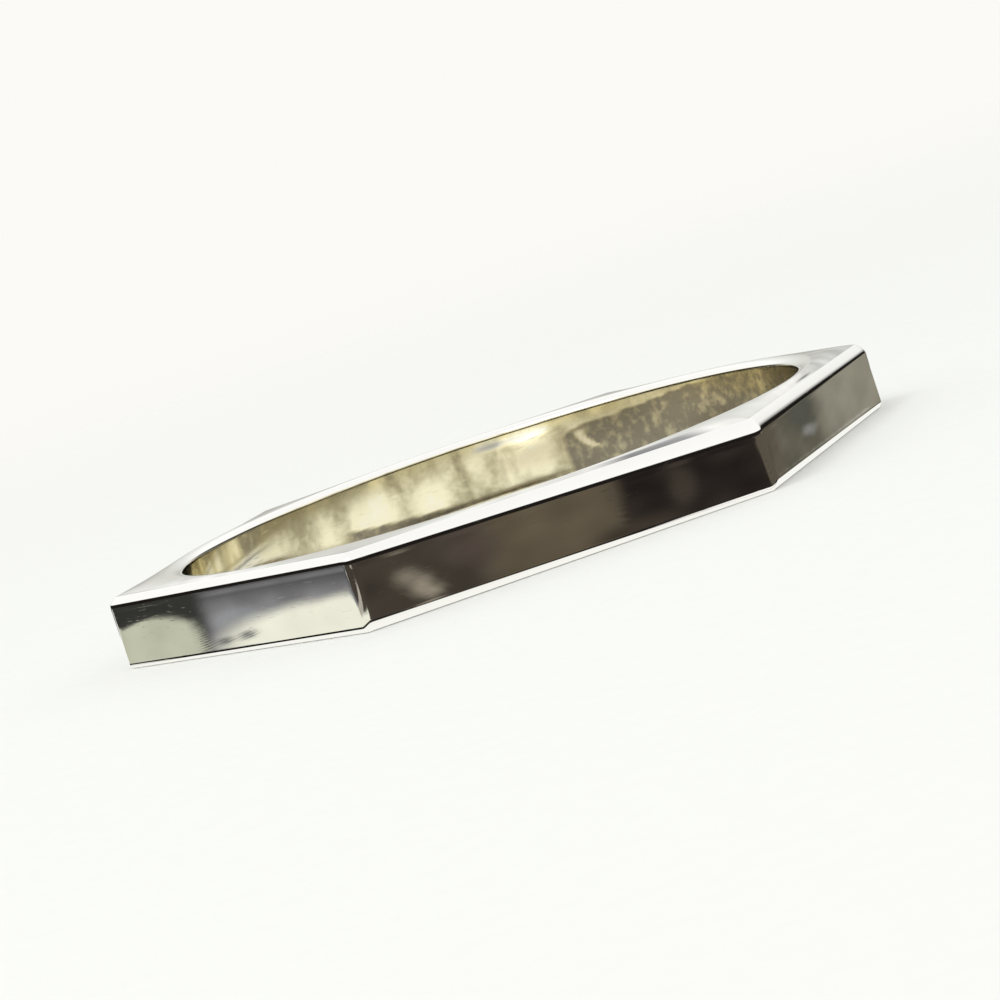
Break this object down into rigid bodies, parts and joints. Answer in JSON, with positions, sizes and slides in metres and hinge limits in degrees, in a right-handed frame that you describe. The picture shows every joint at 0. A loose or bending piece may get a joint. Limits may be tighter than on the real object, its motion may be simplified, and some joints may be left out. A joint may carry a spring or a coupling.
{
  "type": "hexagonal silver ring",
  "caption": "Slim hexagonal finger ring in polished silver, with a round finger hole and softly bevelled edges.",
  "frame": {"origin": "on the surface the ring lies on, under the middle of the finger hole", "axes": "+Z along the finger, up as the ring lies on its side; +X from the middle to one corner; +Y to the middle of one flat side"},
  "size_m": [0.0216, 0.0188, 0.0021],
  "materials": {
    "polished_silver": "polished sterling silver with faint wear"
  },
  "bodies": {
    "root": {"ring_band": "polished_silver"}
  },
  "joints": []
}
